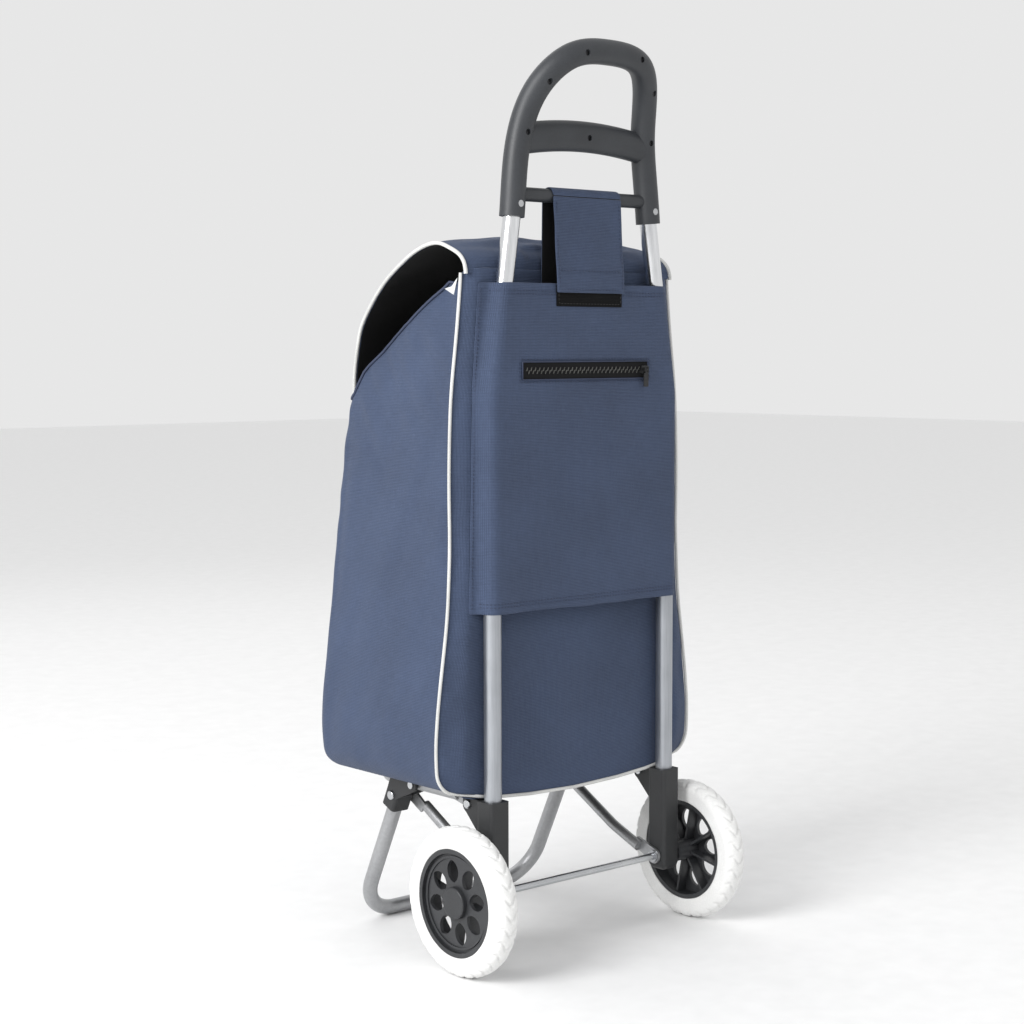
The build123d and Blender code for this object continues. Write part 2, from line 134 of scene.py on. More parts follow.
def wovenCloth(name, look):
    material, tree, shader = startMaterial(name, look)
    flat = addNode(tree, "ShaderNodeUVMap", uv_map="weave").outputs["UV"]
    threads = []
    for direction in ("X", "Y"):
        wave = addNode(tree, "ShaderNodeTexWave", wave_type="BANDS", bands_direction=direction,
                       Scale=weave["bandScale"] / look["pitch"], Distortion=0.7, Detail=1.0)
        wave.inputs["Detail Scale"].default_value = 0.4
        tree.links.new(flat, wave.inputs["Vector"])
        threads.append(wave.outputs["Fac"])
    crossing = combine(tree, "MULTIPLY", threads[0], threads[1])
    slubs = []
    for scale in ((70, 1100, 1), (1100, 70, 1)):  # thick and thin yarns, along and across
        stretch = addNode(tree, "ShaderNodeMapping")
        stretch.inputs["Scale"].default_value = scale
        tree.links.new(flat, stretch.inputs["Vector"])
        grain = addNode(tree, "ShaderNodeTexNoise", Scale=1.0, Detail=3.0)
        tree.links.new(stretch.outputs["Vector"], grain.inputs["Vector"])
        slubs.append(grain.outputs["Fac"])
    yarn = combine(tree, "MULTIPLY", combine(tree, "ADD", slubs[0], slubs[1]), 0.5)
    fade = addNode(tree, "ShaderNodeTexNoise", Scale=weave["fadeScale"], Detail=4.0)
    tree.links.new(flat, fade.inputs["Vector"])
    mixed = combine(tree, "ADD", combine(tree, "MULTIPLY", crossing, weave["threadShare"]),
                    combine(tree, "MULTIPLY", yarn, weave["yarnShare"]))
    faded = combine(tree, "MULTIPLY", fade.outputs["Fac"], weave["fadeShare"])
    mixed = combine(tree, "ADD", mixed, faded)
    colourBetween(tree, mixed, look["dark"], look["light"], shader)
    roughness = spread(tree, fade.outputs["Fac"], look["roughness"] - weave["roughSpread"],
                       look["roughness"] + weave["roughSpread"])
    tree.links.new(roughness, shader.inputs["Roughness"])
    height = combine(tree, "ADD", crossing, combine(tree, "MULTIPLY", yarn, 0.8))
    addBump(tree, height, look.get("bump", 0.35), weave["depth"], shader)
    return material


surface = {"patchScale": 22.0, "roughSpread": 0.07, "depth": 0.0004}


def hardFinish(name, look):
    material, tree, shader = startMaterial(name, look)
    local = addNode(tree, "ShaderNodeTexCoord").outputs["Object"]
    stretch = addNode(tree, "ShaderNodeMapping")
    stretch.inputs["Scale"].default_value = look.get("stretch", (1, 1, 1))
    tree.links.new(local, stretch.inputs["Vector"])
    fine = addNode(tree, "ShaderNodeTexNoise", Scale=look["grain"], Detail=5.0)
    tree.links.new(stretch.outputs["Vector"], fine.inputs["Vector"])
    broad = addNode(tree, "ShaderNodeTexNoise", Scale=surface["patchScale"], Detail=3.0)
    tree.links.new(local, broad.inputs["Vector"])
    tone = combine(tree, "ADD", combine(tree, "MULTIPLY", fine.outputs["Fac"], 0.5),
                   combine(tree, "MULTIPLY", broad.outputs["Fac"], 0.5))
    colourBetween(tree, spread(tree, tone, 0.0, 1.0), look["dark"], look["light"], shader)
    roughness = spread(tree, tone, look["roughness"] - surface["roughSpread"],
                       look["roughness"] + surface["roughSpread"])
    tree.links.new(roughness, shader.inputs["Roughness"])
    addBump(tree, fine.outputs["Fac"], look["bump"], surface["depth"], shader)
    return material


clothLooks = {
    "navyCloth": {"pitch": 0.0016, "dark": (0.004, 0.006, 0.013), "light": (0.112, 0.155, 0.27),
                  "roughness": 0.7, "specular": 0.22, "sheen": 0.06, "bump": 0.9},
    "blackLining": {"pitch": 0.0010, "dark": (0.003, 0.003, 0.0035), "light": (0.012, 0.012, 0.013),
                    "roughness": 0.8, "specular": 0.25, "sheen": 0.05},
    "zipTape": {"pitch": 0.0012, "dark": (0.002, 0.002, 0.0025), "light": (0.01, 0.01, 0.011),
                "roughness": 0.8, "specular": 0.2, "sheen": 0.02},
    "hookAndLoop": {"pitch": 0.0016, "dark": (0.002, 0.002, 0.002), "light": (0.012, 0.012, 0.013),
                    "roughness": 0.95, "specular": 0.1, "sheen": 0.04, "bump": 0.9},
}
hardLooks = {
    "whitePiping": {"dark": (0.5, 0.5, 0.49), "light": (0.72, 0.72, 0.7),
                    "roughness": 0.5, "grain": 900.0, "bump": 0.25},
    "greyBinding": {"dark": (0.5, 0.52, 0.54), "light": (0.74, 0.75, 0.76),
                    "roughness": 0.6, "grain": 900.0, "bump": 0.4},
    "navyThread": {"dark": (0.015, 0.022, 0.05), "light": (0.04, 0.055, 0.11),
                   "roughness": 0.6, "grain": 1500.0, "bump": 0.4},
    "blackThread": {"dark": (0.006, 0.006, 0.006), "light": (0.03, 0.03, 0.03),
                    "roughness": 0.6, "grain": 1500.0, "bump": 0.4},
    "foamTyre": {"dark": (0.74, 0.74, 0.73), "light": (0.86, 0.86, 0.85),
                 "roughness": 0.62, "grain": 520.0, "bump": 0.3, "specular": 0.35},
    "hubPlastic": {"dark": (0.016, 0.017, 0.019), "light": (0.042, 0.044, 0.048),
                   "roughness": 0.44, "grain": 700.0, "bump": 0.18},
    "bracketPlastic": {"dark": (0.011, 0.012, 0.013), "light": (0.028, 0.029, 0.031),
                       "roughness": 0.5, "grain": 800.0, "bump": 0.2},
    "handlePlastic": {"dark": (0.022, 0.024, 0.028), "light": (0.042, 0.046, 0.052),
                      "roughness": 0.46, "grain": 950.0, "bump": 0.22},
    "satinTube": {"dark": (0.33, 0.345, 0.37), "light": (0.46, 0.48, 0.51), "metallic": 0.85,
                  "roughness": 0.36, "grain": 90.0, "stretch": (6, 6, 0.25), "bump": 0.05},
    "brightTube": {"dark": (0.68, 0.69, 0.71), "light": (0.86, 0.87, 0.88), "metallic": 1.0,
                   "roughness": 0.2, "grain": 90.0, "stretch": (6, 6, 0.25), "bump": 0.04},
    "standPaint": {"dark": (0.34, 0.345, 0.355), "light": (0.46, 0.465, 0.475), "metallic": 0.8,
                   "roughness": 0.4, "grain": 300.0, "bump": 0.06},
    "zincSteel": {"dark": (0.42, 0.43, 0.45), "light": (0.6, 0.61, 0.62), "metallic": 1.0,
                  "roughness": 0.26, "grain": 200.0, "stretch": (0.1, 3, 3), "bump": 0.03},
    "stiffBoard": {"dark": (0.006, 0.006, 0.007), "light": (0.02, 0.02, 0.021),
                   "roughness": 0.7, "grain": 300.0, "bump": 0.3},
    "zipTeeth": {"dark": (0.03, 0.03, 0.028), "light": (0.12, 0.12, 0.11), "metallic": 0.2,
                 "roughness": 0.3, "grain": 500.0, "bump": 0.1},
    "zipMetal": {"dark": (0.012, 0.012, 0.013), "light": (0.05, 0.05, 0.052), "metallic": 0.5,
                 "roughness": 0.38, "grain": 600.0, "bump": 0.1},
    "darkScrew": {"dark": (0.02, 0.02, 0.022), "light": (0.09, 0.09, 0.095), "metallic": 0.9,
                  "roughness": 0.42, "grain": 400.0, "bump": 0.1},
    "floorPaper": {"dark": (0.88, 0.88, 0.88), "light": (0.93, 0.93, 0.93),
                   "roughness": 0.8, "grain": 40.0, "bump": 0.02},
}
finishes = {name: wovenCloth(name, look) for name, look in clothLooks.items()}
for name, look in hardLooks.items():
    finishes[name] = hardFinish(name, look)

# which finish each carried part wears, by its slot in the record, with the screws apart
slotFinish = {"tyre": "foamTyre", "hub": "hubPlastic", "bracket": "bracketPlastic",
              "handle": "handlePlastic", "lower_tube": "satinTube", "upper_tube": "brightTube",
              "stand_tube": "standPaint", "steel": "zincSteel", "bag_fabric": "navyCloth",
              "lid_fabric": "navyCloth", "board": "stiffBoard", "zip": "zipMetal",
              "hook_loop": "hookAndLoop"}
screwFinish = {"handle_screws": "darkScrew", "socket_screws": "zincSteel"}
for part in frame["record"]["subparts"]:
    carried = frame["nodes"][part["node"]]
    finish = finishes[screwFinish.get(part["node"], slotFinish[part["material_slot"]])]
    if not carried.material_slots:
        carried.data.materials.append(finish)
    for slot in carried.material_slots:
        slot.link = "OBJECT"
        slot.material = finish
print("finishes set on the carried parts")


# helpers that turn rows of points into cloth, piping and thread
def smoothCurve(points, count):  # even points on a smooth line through the given ones
    points = np.array(points, float)
    padded = np.vstack([2 * points[0] - points[1], points, 2 * points[-1] - points[-2]])
    line = []
    for k in range(len(points) - 1):
        a, b, c, d = padded[k:k + 4]
        for t in np.linspace(0, 1, 24, endpoint=False):
            line.append(0.5 * (2 * b + (c - a) * t + (2 * a - 5 * b + 4 * c - d) * t * t
                               + (3 * b - a - 3 * c + d) * t ** 3))
    line.append(points[-1])
    line = np.array(line)
    run = np.concatenate([[0], np.cumsum(np.linalg.norm(np.diff(line, axis=0), axis=1))])
    even = np.linspace(0, run[-1], count)
    return np.stack([np.interp(even, run, line[:, k]) for k in range(line.shape[1])], axis=1)


def makePiece(name, points, faces, flat, materials):
    mesh = bpy.data.meshes.new(name)
    mesh.from_pydata([tuple(p) for p in points], [], faces)
    if flat is not None:
        layer = mesh.uv_layers.new(name="weave")
        for loop in mesh.loops:
            layer.data[loop.index].uv = flat[loop.vertex_index]
    for material in materials:
        mesh.materials.append(finishes[material])
    mesh.polygons.foreach_set("use_smooth", [True] * len(mesh.polygons))
    piece = bpy.data.objects.new(name, mesh)
    bpy.context.scene.collection.objects.link(piece)
    return piece


def clothPiece(name, grid, flat, materials, thick, flip=False):  # the second material is the inside
    rows, columns = grid.shape[:2]
    faces = []
    for i in range(rows - 1):
        for j in range(columns - 1):
            first = i * columns + j
            corners = (first, first + 1, first + columns + 1, first + columns)
            faces.append(corners[::-1] if flip else corners)
    piece = makePiece(name, grid.reshape(-1, 3), faces, flat.reshape(-1, 2), materials)
    body = piece.modifiers.new("thickness", "SOLIDIFY")
    body.thickness = thick * mm
    body.offset = -1
    body.material_offset = len(materials) - 1
    smooth = piece.modifiers.new("smooth", "SUBSURF")
    smooth.levels = 1
    smooth.render_levels = 1
    return settle(piece)


def settle(piece):  # keeps the result of the modifiers as the mesh
    bpy.context.view_layer.update()
    made = bpy.data.meshes.new_from_object(piece.evaluated_get(bpy.context.evaluated_depsgraph_get()))
    piece.modifiers.clear()
    piece.data = made
    made.polygons.foreach_set("use_smooth", [True] * len(made.polygons))
    return piece


def cordPiece(name, line, radius, material):  # round piping along a line of points
    curve = bpy.data.curves.new(name, "CURVE")
    curve.dimensions = "3D"
    curve.bevel_depth = radius * mm
    curve.bevel_resolution = 3
    spline = curve.splines.new("POLY")
    spline.points.add(len(line) - 1)
    for point, position in zip(spline.points, line):
        point.co = (*position, 1)
    curve.use_fill_caps = True
    curve.materials.append(finishes[material])
    piece = bpy.data.objects.new(name, curve)
    bpy.context.scene.collection.objects.link(piece)
    bpy.context.view_layer.update()
    mesh = bpy.data.meshes.new_from_object(piece.evaluated_get(bpy.context.evaluated_depsgraph_get()))
    bpy.data.objects.remove(piece)
    piece = bpy.data.objects.new(name, mesh)
    bpy.context.scene.collection.objects.link(piece)
    return piece


stitch = {"length": 3.0, "gap": 1.4, "radius": 0.38, "sides": 6,
          "bulge": [(0.0, 0.25), (0.2, 0.9), (0.5, 1.0), (0.8, 0.9), (1.0, 0.25)]}


def stitchRow(name, line, outward, material):  # short rounded threads, just proud of the cloth
    sides = stitch["sides"]
    line = np.array(line)
    run = np.concatenate([[0], np.cumsum(np.linalg.norm(np.diff(line, axis=0), axis=1))]) / mm
    points, faces = [], []
    outward = Vector(outward).normalized()
    at = stitch["gap"]
    while at + stitch["length"] < run[-1]:
        ends = [Vector([np.interp(spot, run, line[:, k]) for k in range(3)])
                for spot in (at, at + stitch["length"])]
        along = (ends[1] - ends[0]).normalized()
        across = along.cross(outward).normalized()
        first = len(points)
        for t, size in stitch["bulge"]:
            middle = ends[0].lerp(ends[1], t) + outward * stitch["radius"] * mm * (size - 0.55)
            for k in range(sides):
                turn = math.tau * k / sides
                reach = across * math.cos(turn) + outward * math.sin(turn)
                points.append(middle + reach * stitch["radius"] * mm * size)
        last = first + sides * (len(stitch["bulge"]) - 1)
        for ring in range(first, last, sides):
            for k in range(sides):
                a, b = ring + k, ring + (k + 1) % sides
                faces.append((a, b, b + sides, a + sides))
        faces.append(tuple(first + k for k in reversed(range(sides))))
        faces.append(tuple(last + k for k in range(sides)))
        at += stitch["length"] + stitch["gap"]
    return makePiece(name, points, faces, None, [material])


def ripple(x, y, z, scale, seed=0.0):  # smooth noise in metres, from about -1 to 1
    return noise.noise(Vector((x * scale + seed, y * scale - seed, z * scale + 2 * seed)))


def step(value, low, high):  # eases from 0 to 1 between the two
    t = min(max((value - low) / (high - low), 0.0), 1.0)
    return t * t * (3 - 2 * t)


tubes = {"apart": 128.8, "lean": 28.2, "leanFrom": 612, "leanOver": 185}


def tubeX(z):  # how far out the tube's middle runs at a height
    return tubes["apart"] - tubes["lean"] * max(z - tubes["leanFrom"], 0) / tubes["leanOver"]


# the bag's walls: tables of height against width or depth, rounded and then creased
bag = {
    "halfWidth": [(176, 184), (200, 186), (230, 189), (260, 187.5), (300, 183), (340, 177),
                  (380, 171.5), (450, 168), (520, 169), (580, 167.5), (620, 165), (660, 159.5),
                  (700, 155), (745, 151)],
    "front": [(176, 233), (210, 238), (330, 238), (423, 233), (469, 227), (514, 219),
              (559, 212), (604, 206), (745, 152)],
    "mouth": [(-240, 602), (-200, 604), (-188, 612), (-172, 638), (-137, 661), (-102, 685),
              (-68, 708), (-36, 729), (-27, 727), (-22, 738)],
    "sleeveSeam": [(380, 151), (618, 146), (729, 137), (760, 133)],
    "panelTop": 744, "rear": -12.5, "seamY": -22.0,
    "underside": [(0, 176), (77, 178), (129, 181.5), (150, 184), (175, 188.6)],
    "sideBase": 188.6, "bottomRound": 26.0, "frontRound": 15.0, "cornerRound": 15.0,
    "sideSwell": 5.0, "frontSwell": 8.0, "mouthDip": 8, "wall": 1.6,
    "creases": 5.0, "gathers": 5.0, "drag": 1.5, "footPull": 3.4, "edgeWave": 2.6, "rearBelly": 3.2,
    "lowRows": 12, "rows": 77, "footShare": 0.06,
}


def profile(key, z):  # smoothed width or depth of the bag at a height
    table = np.array(bag[key], float)
    near = np.linspace(z - 22, z + 22, 9)
    return float(np.mean(np.interp(near, table[:, 0], table[:, 1])))


def rounding(z, base, radius):  # how far a rounded bottom edge draws in
    below = base + radius - z
    if below <= 0:
        return 0.0
    return radius - math.sqrt(max(radius * radius - below * below, 0.0))


def sleeveSeam(z):  # how far out the sleeve panel is sewn down
    table = np.array(bag["sleeveSeam"], float)
    return float(np.interp(z, table[:, 0], table[:, 1]))


def edgeAt(z):  # where the rear panel leaves the sleeve
    return min(sleeveSeam(z) + 1, profile("halfWidth", z) - 4)


def bagPoint(run, f, z, base):  # a point of the wall and the way it faces
    inset = rounding(z, base, bag["bottomRound"])
    half = profile("halfWidth", z) - inset
    front = profile("front", z) - rounding(z, base, bag["frontRound"])
    corner = bag["cornerRound"]
    seamY = bag["seamY"]
    if run in ("left", "right"):
        side = 1 if run == "left" else -1
        f = f if side > 0 else 1 - f
        y = seamY + (-front + corner - seamY) * f
        swell = bag["sideSwell"] * math.sin(math.pi * f) ** 0.8 * step(z, base, base + 60)
        return (side * (half + swell), y), (side, 0)
    if run in ("leftCorner", "rightCorner"):
        side = 1 if run == "leftCorner" else -1
        turn = math.pi / 2 * (f if side > 0 else 1 - f)
        x = side * (half - corner + corner * math.cos(turn))
        y = -front + corner - corner * math.sin(turn)
        return (x, y), (side * math.cos(turn), -math.sin(turn))
    if run == "front":
        x = (half - corner) * (1 - 2 * f)
        return (x, -front - bag["frontSwell"] * math.sin(math.pi * f)), (0, -1)
    x = half * (2 * f - 1)  # the rear panel, flat between the tubes
    edge = min(sleeveSeam(z) + 1, half - 4)
    y = bag["rear"] + (seamY - bag["rear"]) * step(abs(x), edge, half)
    return (x, y), (0, 1)


runs = [("left", 34), ("leftCorner", 8), ("front", 38), ("rightCorner", 8), ("right", 34), ("rear", 52)]


def mouthHeight(run, f, base):
    if run == "rear":
        return bag["panelTop"] + 1.5 * noise.noise(Vector((f * 14, 0.2, 0.9)))
    z = 680.0
    table = np.array(bag["mouth"])
    for _ in range(12):
        (x, y), way = bagPoint(run, f, z, base)
        z = 0.5 * z + 0.5 * float(np.interp(y, table[:, 0], table[:, 1]))
    if run == "front":
        z -= bag["mouthDip"] * math.sin(math.pi * f)
    return z


def undersideAt(x):  # the height of the rear panel's bottom edge
    under = np.array(bag["underside"], float)
    return float(np.interp(abs(x), under[:, 0], under[:, 1]))


def sideFold(run, f, x, y, z, base, top):  # creases, gathers under the mouth and slack at the foot
    inside = step(f, 0, 0.08) * step(1 - f, 0, 0.08) if run in ("left", "right", "front") else 0.6
    low = step(z, base, base + 30)
    move = bag["creases"] * ripple(x * mm, y * mm, z * mm, 9.0) * inside * low
    under = top - z
    slanted = (z * 0.62 + y * 0.78) * mm
    fold = noise.noise(Vector((slanted * 60, (z - y) * mm * 9, 3.1)))
    fold += 0.45 * noise.noise(Vector((slanted * 150, (z - y) * mm * 16, 7.7)))
    move += bag["gathers"] * fold * inside * (1 - step(under, 30, 200)) * step(under, -6, 12)
    drag = noise.noise(Vector(((y - z * 0.45) * mm * 38, x * mm * 38, (z + y * 0.45) * mm * 5)))
    move += bag["drag"] * drag * inside * low
    pull = noise.noise(Vector((y * mm * 30, x * mm * 30, z * mm * 7)))
    move += bag["footPull"] * pull * (1 - step(z, base + 10, base + 110)) * inside * low
    return move


def rearFold(x, z, base):  # the strips beside the sleeve, and the belly below it
    clearOfTube = step(abs(abs(x) - tubes["apart"]), 14, 34)
    strip = step(abs(x), edgeAt(z) + 1, edgeAt(z) + 12)
    wave = noise.noise(Vector((x * mm * 40, 1.0, z * mm * 26)))
    move = bag["edgeWave"] * strip * wave * step(z, base, base + 40)
    belly = bag["rearBelly"] * clearOfTube * (0.6 + ripple(x * mm, 0, z * mm, 12.0))
    return move + belly * step(z, base, base + 50) * (1 - step(z, 350, 390))


def bagColumn(run, f):  # one line of points from the bottom edge up to the mouth
    base = bag["sideBase"]
    if run == "rear":
        base = undersideAt(profile("halfWidth", 186) * (2 * f - 1))
    top = mouthHeight(run, f, base)
    foot = np.linspace(0, bag["footShare"], bag["lowRows"])
    rest = np.linspace(bag["footShare"], 1, bag["rows"] - bag["lowRows"] + 1)[1:]
    column = []
    for share in np.concatenate([foot, rest]):
        z = base + share * (top - base)
        (x, y), way = bagPoint(run, f, z, base)
        move = rearFold(x, z, base) if run == "rear" else sideFold(run, f, x, y, z, base, top)
        column.append((x + way[0] * move, y + way[1] * move, z))
    return column


columns, wallRuns = [], []
for run, count in runs:
    start = 0 if run == "left" else 1
    for k in range(start, count + 1):
        columns.append(bagColumn(run, k / count))
        wallRuns.append((run, k / count))
wall = np.array(columns).transpose(1, 0, 2)  # rows from the bottom up
wall[:, -1] = wall[:, 0]
around = np.concatenate([[0], np.cumsum(np.linalg.norm(np.diff(wall[40, :, :2], axis=0), axis=1))])
wallFlat = np.stack([np.broadcast_to(around, wall.shape[:2]) * mm, wall[:, :, 2] * mm], axis=2)
bagWalls = clothPiece("bagWalls", placeAll(wall), wallFlat, ["navyCloth", "blackLining"],
                      bag["wall"], flip=True)
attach(bagWalls, "frame")
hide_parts("bag_body")
print("bag walls made")

# the bottom panel: rings that shrink to its middle, held by the shelf and sewn to the rear edge
bottom = {"middleY": -115.0, "rings": 15, "reach": 0.985, "level": 188.7, "sag": 3.0, "thick": 1.0}
rings = []
for k in range(bottom["rings"]):
    share = 1 - k / (bottom["rings"] - 1) * bottom["reach"]
    ring = []
    for x, y, z in wall[0, :-1]:
        x = x * share
        y = bottom["middleY"] + (y - bottom["middleY"]) * share
        level = undersideAt(x) + (bottom["level"] - undersideAt(x)) * step(-y, 14, 44)
        sag = bottom["sag"] * step(120 - abs(x), 0, 90) * step(-y, 60, 110) * step(196 + y, 0, 60)
        ring.append((x, y, level - sag))
    rings.append(ring + ring[:1])
rings = np.array(rings)
bottomPanel = clothPiece("bottomPanel", placeAll(rings), rings[:, :, :2] * mm,
                         ["navyCloth", "blackLining"], bottom["thick"], flip=True)
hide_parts("bag_base")
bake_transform(bottomPanel)

# piping round the rear panel and the front panel
lengths = np.cumsum([0] + [count for run, count in runs])
piping = {"radius": 1.8, "stand": 0.7}


def wallLine(column, push):  # a seam from bottom to mouth, pushed out of the wall
    return wall[:, column] + np.array([push[0], push[1], 0]) * piping["stand"]


rearLeft = wallLine(0, (1, 0.6))[::-1]
rearRight = wallLine(lengths[5], (-1, 0.6))
rearBottom = wall[0, lengths[5]:lengths[6]][::-1] + np.array([0, 0.4, -0.9])
rearPiping = cordPiece("rearPiping", placeAll(np.vstack([rearLeft, rearBottom[2:-2], rearRight])),
                       piping["radius"], "whitePiping")
frontLeft = wallLine(lengths[2], (0.7, -0.7))[::-1]
frontRight = wallLine(lengths[3], (-0.7, -0.7))
frontBottom = wall[0, lengths[2]:lengths[3] + 1] + np.array([0, -0.4, -0.9])
frontPiping = cordPiece("frontPiping", placeAll(np.vstack([frontLeft, frontBottom[2:-2], frontRight])),
                        piping["radius"], "whitePiping")
for cordLike in (rearPiping, frontPiping):
    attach(cordLike, "frame")

# a turned hem along the slanted mouth, and a pale binding at each rear corner of it
hem = {"radius": 1.5, "stand": 0.8}
mouthLine = wall[-1, 2:lengths[5] - 1]
outward = np.array([bagPoint(run, f, 600, 188)[1] for run, f in wallRuns[2:lengths[5] - 1]])
hemLine = mouthLine + np.hstack([outward * hem["stand"], np.zeros((len(mouthLine), 1))])
mouthHem = cordPiece("mouthHem", placeAll(hemLine), hem["radius"], "navyThread")
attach(mouthHem, "frame")
binding = {"points": [(2.0, 1, 3), (3.2, -19, -8), (3.0, -4, -15), (3.4, -7, -6)],
           "thick": 1.2, "round": 0.4}
for side in (1, -1):
    anchor = wall[-1, 1 if side > 0 else lengths[5] - 1]
    points = [place(anchor[0] + side * x, anchor[1] + y, anchor[2] + z) for x, y, z in binding["points"]]
    faces = [(0, 3, 2), (3, 1, 2)] if side > 0 else [(0, 2, 3), (3, 2, 1)]
    piece = makePiece("mouthBinding" + sideName(side), points, faces, None, ["greyBinding"])
    piece.modifiers.new("thickness", "SOLIDIFY").thickness = binding["thick"] * mm
    piece.modifiers.new("edge", "BEVEL").width = binding["round"] * mm
    settle(piece)
    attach(piece, "frame")
print("bottom, piping and mouth made")

# the lid: a side view from its sewn edge over the top and down the front, in y and z
lid = {
    "line": [(-15.0, 737), (-15.4, 752), (-22, 761), (-38, 769), (-58, 775), (-80, 774),
             (-104, 767), (-128, 755), (-157, 736), (-181, 713), (-199, 690), (-208, 668),
             (-214, 640), (-219, 600), (-223, 562)],
    "half": 150, "droop": 5.0, "crown": 4.0, "thick": 2.2, "rows": 84, "columns": 46,
    "pucker": 4.5, "roll": 2.6, "wrinkle": 1.2, "strapHalf": 64, "strapBehind": -26, "piping": 2.1,
}
lidLine = smoothCurve(lid["line"], lid["rows"])
slope = np.gradient(lidLine, axis=0)
slope /= np.linalg.norm(slope, axis=1)[:, None]
lidGrid = np.zeros((lid["rows"], lid["columns"], 3))
for i, (y, z) in enumerate(lidLine):
    outY, outZ = slope[i][1], -slope[i][0]  # square to the line, away from the bag
    share = i / (lid["rows"] - 1)
    for j in range(lid["columns"]):
        f = 2 * j / (lid["columns"] - 1) - 1
        half = lid["half"] * (1 - 0.02 * step(share, 0.8, 1))
        x = half * f
        loose = step(share, 0, 0.06)
        out = (lid["crown"] * (1 - f * f) - lid["droop"] * abs(f) ** 7) * loose
        near = (1 - step(share, 0.12, 0.3)) * loose
        pucker = noise.noise(Vector((x * mm * 22, share * 26, 1.7)))
        out += lid["pucker"] * near * (1 - abs(f) ** 6) * pucker
        roll = noise.noise(Vector((x * mm * 9, share * 5, 5.2)))
        out += lid["roll"] * roll * step(share, 0.1, 0.3)
        wrinkle = noise.noise(Vector((x * mm * 30, share * 9, 9.4)))
        out += lid["wrinkle"] * wrinkle * step(share, 0.05, 0.2)
        if y > lid["strapBehind"] and abs(x) < lid["strapHalf"]:  # stays clear of the strap
            out = min(out, 0.0)
        lidGrid[i, j] = (x, y + outY * out, z + outZ * out)
lidFlat = np.zeros((lid["rows"], lid["columns"], 2))
lidRun = np.concatenate([[0], np.cumsum(np.linalg.norm(np.diff(lidLine, axis=0), axis=1))])
lidFlat[:, :, 0] = lidGrid[:, :, 0] * mm
lidFlat[:, :, 1] = lidRun[:, None] * mm
lidCloth = clothPiece("lidCloth", placeAll(lidGrid), lidFlat, ["navyCloth", "blackLining"],
                      lid["thick"], flip=True)
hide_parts("lid")
edge = np.vstack([lidGrid[:, 0], lidGrid[-1, 1:-1], lidGrid[:, -1][::-1]])
edge[:, 0] += np.sign(edge[:, 0]) * (np.abs(edge[:, 0]) > lid["half"] - 5)
lidPiping = cordPiece("lidPiping", placeAll(edge), lid["piping"], "whitePiping")
for piece in (lidCloth, lidPiping):
    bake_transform(piece)
print("lid made")

# the sleeve panel that wraps the tubes and lies flat between them
sleeve = {"base": 380.0, "top": 728.5, "back": 11.7, "thick": 1.0, "rows": 72, "wave": 0.7,
          "hemDrop": 1.6, "zipAt": 636, "patchFrom": 690, "patchHalf": 70,
          "stitchRows": {"topHemStitch": 720, "topHemStitchLow": 716.5, "baseHemStitch": 388,
                         "baseHemStitchHigh": 391.5}}


def sleevePoint(f, z):  # f from -1 to 1 across the panel
    seam, tube, back = sleeveSeam(z), tubeX(z), sleeve["back"]
    section = smoothCurve([(seam, -12.0), (tube + 13.2, -7.0), (tube + 11.2, 0), (tube + 8.6, 7.2),
                           (tube + 2.5, 11.1), (tube - 8, back), (tube * 0.5, back), (0, back)], 40)
    run = np.linspace(1, 0, 40)
    x = np.interp(1 - abs(f), 1 - run, section[:, 0])
    y = np.interp(1 - abs(f), 1 - run, section[:, 1])
    return math.copysign(x, f), float(y)


sleeveColumns = np.concatenate([np.linspace(-1, -0.72, 22), np.linspace(-0.72, 0.72, 40)[1:-1],
                                np.linspace(0.72, 1, 22)])
sleeveGrid, sleeveFlat = [], []
for z in np.linspace(sleeve["base"], sleeve["top"], sleeve["rows"]):
    row, flatRow = [], []
    for f in sleeveColumns:
        x, y = sleevePoint(f, z)
        besidePatch = 1 - (step(z, sleeve["patchFrom"], sleeve["patchFrom"] + 10)
                           * step(sleeve["patchHalf"] - abs(x), 0, 12))
        calm = step(abs(z - sleeve["zipAt"]), 14, 60) * besidePatch  # flat where zip and patch are sewn
        middle = step(tubeX(z) - 6 - abs(x), 0, 30)
        y += sleeve["wave"] * (ripple(x * mm, 0, z * mm, 14, 4.0) - 0.35) * 2.0 * calm * middle
        hemShare = 1 - step(z, sleeve["base"], sleeve["base"] + 20)
        drop = sleeve["hemDrop"] * noise.noise(Vector((x * mm * 22, 0.4, 2.0))) * hemShare
        row.append((x, y, z + drop))
        flatRow.append((x + math.copysign(max(abs(f) - 0.8, 0) * 60, f), z))
    sleeveGrid.append(row)
    sleeveFlat.append(flatRow)
sleeveGrid = np.array(sleeveGrid)
sleevePanel = clothPiece("sleevePanel", placeAll(sleeveGrid), np.array(sleeveFlat) * mm,
                         ["navyCloth", "blackLining"], sleeve["thick"], flip=True)
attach(sleevePanel, "frame")
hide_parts("sleeve_panel")


def panelRow(z):  # a line across the panel, just proud of it
    share = (z - sleeve["base"]) / (sleeve["top"] - sleeve["base"])
    nearest = sleeveGrid[int(round(share * (sleeve["rows"] - 1)))]
    return placeAll([(x, y + 0.1, z) for x, y, _ in nearest[4:-4]])


seams = [(name, panelRow(z), (0, 1, 0)) for name, z in sleeve["stitchRows"].items()]
for side in (1, -1):
    column = placeAll([(side * (sleeveSeam(z) - 2.4), -10.0, z) for z in np.linspace(384, 726, 60)])
    seams.append(("sideStitch" + sideName(side), column, (side * 0.8, 0.6, 0)))
for name, line, facing in seams:
    row = stitchRow(name, line, facing, "navyThread")
    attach(row, "frame")
print("sleeve panel made")

